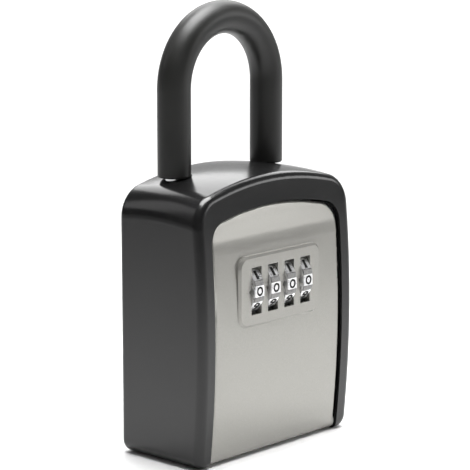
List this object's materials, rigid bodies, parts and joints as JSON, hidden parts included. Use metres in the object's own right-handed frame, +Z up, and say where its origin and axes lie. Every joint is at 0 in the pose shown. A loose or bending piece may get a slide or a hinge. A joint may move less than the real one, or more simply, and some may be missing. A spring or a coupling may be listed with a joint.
{
  "type": "key lock box",
  "caption": "Portable key safe with a removable U shackle, a bottom-hinged bowed door and a combination lock with numbered dials.",
  "frame": {"origin": "centre of the bounding box's base, on the surface the box stands on", "axes": "+Z up along the shackle's legs, -Y out of the door's face, +X to the right when facing the door"},
  "size_m": [0.0932, 0.049, 0.1846],
  "materials": {
    "jacket": "satin",
    "sleeve": "satin",
    "case": "as cast",
    "door": "satin paint",
    "steel": "zinc plated",
    "chrome": "polished",
    "dials": "polished lands, grey ribs",
    "brass": "machined",
    "plastic": "matte",
    "tab": "matte"
  },
  "bodies": {
    "root": {"outer_jacket": "jacket", "inner_case": "case", "hinge_pin": "steel", "strike_plate": "steel", "strike_screws": "steel", "shackle_lock_cover": "steel", "cover_screws": "steel"},
    "door": {"door_panel": "door", "dial_spindle": "steel", "spindle_clips": "steel", "dial_spacers": "plastic", "lock_frame": "steel", "detent_spring": "steel", "frame_screws": "steel", "door_back_plate": "steel", "back_plate_screws": "steel", "latch_guide_screws": "steel", "latch_springs": "steel"},
    "latch": {"latch_bolt": "steel"},
    "reset_lever": {"code_reset_lever": "plastic"},
    "shackle": {"shackle_core": "chrome", "shackle_sleeve": "sleeve"},
    "shackle_release": {"shackle_lock_plate": "steel", "shackle_release_tab": "tab", "shackle_lock_spring": "steel"},
    "dial_1": {"dial_1": "dials", "clutch_sleeve_1": "brass"},
    "dial_2": {"dial_2": "dials", "clutch_sleeve_2": "brass"},
    "dial_3": {"dial_3": "dials", "clutch_sleeve_3": "brass"},
    "dial_4": {"dial_4": "dials", "clutch_sleeve_4": "brass"}
  },
  "joints": [
    {"name": "door_hinge", "type": "hinge", "parent": "root", "child": "door", "pos_m": [0, -0.0153, 0.0039], "axis": [1, 0, 0], "range_deg": [0, 95]},
    {"name": "latch_slide", "type": "slide", "parent": "door", "child": "latch", "axis": [0, 0, 1], "range_m": [-0.003, 0], "stiffness_N_per_m": 150, "springref_m": 0.002, "deforming": ["latch_springs"]},
    {"name": "code_reset", "type": "slide", "parent": "door", "child": "reset_lever", "axis": [1, 0, 0], "range_m": [0, 0.005]},
    {"name": "shackle_lift", "type": "slide", "parent": "root", "child": "shackle", "axis": [0, 0, 1], "range_m": [0, 0.03]},
    {"name": "shackle_release_slide", "type": "slide", "parent": "root", "child": "shackle_release", "axis": [1, 0, 0], "range_m": [0, 0.0022], "stiffness_N_per_m": 300, "springref_m": -0.001, "deforming": ["shackle_lock_spring"]},
    {"name": "dial_1_turn", "type": "hinge", "parent": "door", "child": "dial_1", "pos_m": [-0.015, -0.01345, 0.07], "axis": [1, 0, 0], "continuous": true},
    {"name": "dial_2_turn", "type": "hinge", "parent": "door", "child": "dial_2", "pos_m": [-0.005, -0.01345, 0.07], "axis": [1, 0, 0], "continuous": true},
    {"name": "dial_3_turn", "type": "hinge", "parent": "door", "child": "dial_3", "pos_m": [0.005, -0.01345, 0.07], "axis": [1, 0, 0], "continuous": true},
    {"name": "dial_4_turn", "type": "hinge", "parent": "door", "child": "dial_4", "pos_m": [0.015, -0.01345, 0.07], "axis": [1, 0, 0], "continuous": true}
  ]
}
